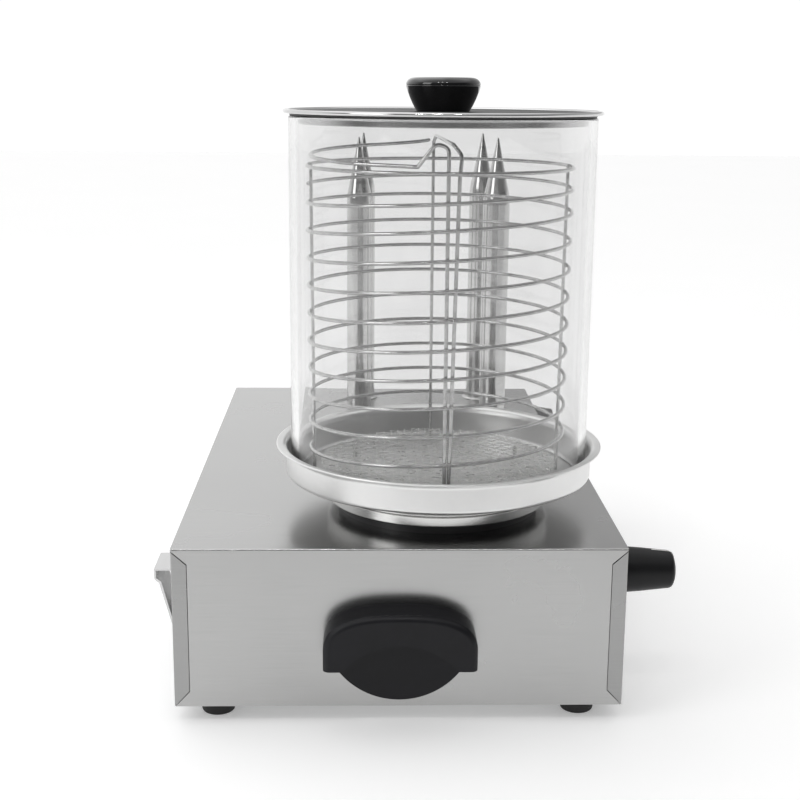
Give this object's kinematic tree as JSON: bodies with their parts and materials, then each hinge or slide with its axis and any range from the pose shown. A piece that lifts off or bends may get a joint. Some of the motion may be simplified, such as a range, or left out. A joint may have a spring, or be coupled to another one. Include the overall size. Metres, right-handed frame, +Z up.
{
  "type": "hot dog steamer",
  "caption": "Countertop hot dog steamer: glass cylinder with wire basket over a water pan, heated bun spikes on a stainless box base.",
  "frame": {"origin": "middle of the bounding box, on the surface it stands on", "axes": "+Z up; +X towards the control side; +Y from the glass end to the spike end"},
  "size_m": [0.336, 0.504, 0.4025],
  "materials": {
    "basket_chrome": "bright wire",
    "collar_steel": "turned",
    "deck_steel": "satin brushed stainless",
    "dial_black": "printed",
    "dial_knob_black": "satin moulded",
    "element_steel": "plain",
    "fastener_steel": "plain",
    "floor_steel": "plain sheet",
    "foot_rubber": "matt",
    "gasket_rubber": "matt",
    "gland_black": "moulded",
    "glass_clear": "clear borosilicate",
    "handle_black": "satin moulded",
    "hanger_steel": "polished stainless",
    "hotplate_metal": "machined",
    "knob_black": "high gloss",
    "lamp_lens": "clear amber",
    "lid_steel": "polished stainless",
    "mesh_wire": "bright wire",
    "pan_metal": "satin",
    "panel_steel": "satin brushed stainless",
    "seat_black": "heat-proof black",
    "spike_metal": "polished",
    "switch_black": "moulded",
    "switch_red": "moulded",
    "terminal_plastic": "moulded",
    "thermostat_body": "moulded"
  },
  "bodies": {
    "base": {"bottom_plate": "floor_steel", "cable_gland": "gland_black", "deck_shell": "deck_steel", "dial_plate_spikes": "dial_black", "dial_plate_steam": "dial_black", "foot_1": "foot_rubber", "foot_2": "foot_rubber", "foot_3": "foot_rubber", "foot_4": "foot_rubber", "foot_screws": "fastener_steel", "handle_front": "handle_black", "handle_rear": "handle_black", "handle_screws": "fastener_steel", "hanger_rivets": "fastener_steel", "hotplate": "hotplate_metal", "hotplate_seat": "seat_black", "pilot_lamp_spikes": "lamp_lens", "pilot_lamp_steam": "lamp_lens", "rocker_frame_spikes": "switch_black", "rocker_frame_steam": "switch_black", "side_hanger": "hanger_steel", "side_panel_left": "panel_steel", "side_panel_right": "panel_steel", "spike_1": "spike_metal", "spike_2": "spike_metal", "spike_3": "spike_metal", "spike_4": "spike_metal", "spike_collar_1": "collar_steel", "spike_collar_2": "collar_steel", "spike_collar_3": "collar_steel", "spike_collar_4": "collar_steel", "spike_heaters": "element_steel", "spike_nuts": "fastener_steel", "steam_element": "element_steel", "terminal_block": "terminal_plastic", "thermostat_spikes": "thermostat_body", "thermostat_steam": "thermostat_body"},
    "pan": {"water_pan": "pan_metal"},
    "mesh": {"mesh_warp": "mesh_wire", "mesh_weft": "mesh_wire", "mesh_legs": "mesh_wire"},
    "basket": {"basket_bail": "basket_chrome", "basket_coil": "basket_chrome", "basket_hoop": "basket_chrome", "basket_post": "basket_chrome", "basket_ribs": "basket_chrome", "basket_ring": "basket_chrome"},
    "glass": {"glass_cylinder": "glass_clear"},
    "lid": {"lid_gasket": "gasket_rubber", "lid_disc": "lid_steel", "lid_knob": "knob_black", "lid_screw": "fastener_steel"},
    "knob_steam": {"dial_knob_steam": "dial_knob_black", "dial_shaft_steam": "element_steel"},
    "knob_spikes": {"dial_knob_spikes": "dial_knob_black", "dial_shaft_spikes": "element_steel"},
    "switch_steam": {"rocker_steam": "switch_red"},
    "switch_spikes": {"rocker_spikes": "switch_red"}
  },
  "joints": [
    {"name": "pan_lift", "type": "slide", "parent": "base", "child": "pan", "axis": [0, 0, 1], "range_m": [0, 0.06]},
    {"name": "glass_lift", "type": "slide", "parent": "pan", "child": "glass", "axis": [0, 0, 1], "range_m": [0, 0.28]},
    {"name": "lid_lift", "type": "slide", "parent": "glass", "child": "lid", "axis": [0, 0, 1], "range_m": [0, 0.32]},
    {"name": "basket_lift", "type": "slide", "parent": "pan", "child": "basket", "axis": [0, 0, 1], "range_m": [0, 0.256]},
    {"name": "mesh_lift", "type": "slide", "parent": "pan", "child": "mesh", "axis": [0, 0, 1], "range_m": [0, 0.224]},
    {"name": "steam_dial", "type": "hinge", "parent": "base", "child": "knob_steam", "pos_m": [0.131, -0.198, 0.092], "axis": [1, 0, 0], "range_deg": [-270, 0]},
    {"name": "spike_dial", "type": "hinge", "parent": "base", "child": "knob_spikes", "pos_m": [0.131, 0.198, 0.092], "axis": [1, 0, 0], "range_deg": [-270, 0]},
    {"name": "steam_switch", "type": "hinge", "parent": "base", "child": "switch_steam", "pos_m": [0.13, -0.092, 0.092], "axis": [0, 1, 0], "range_deg": [0, 18]},
    {"name": "spike_switch", "type": "hinge", "parent": "base", "child": "switch_spikes", "pos_m": [0.13, 0.092, 0.092], "axis": [0, 1, 0], "range_deg": [0, 18]}
  ],
  "couplings": [
    {"joint": "basket_lift", "follows": "lid_lift", "ratio": 0.8},
    {"joint": "mesh_lift", "follows": "lid_lift", "ratio": 0.7}
  ]
}
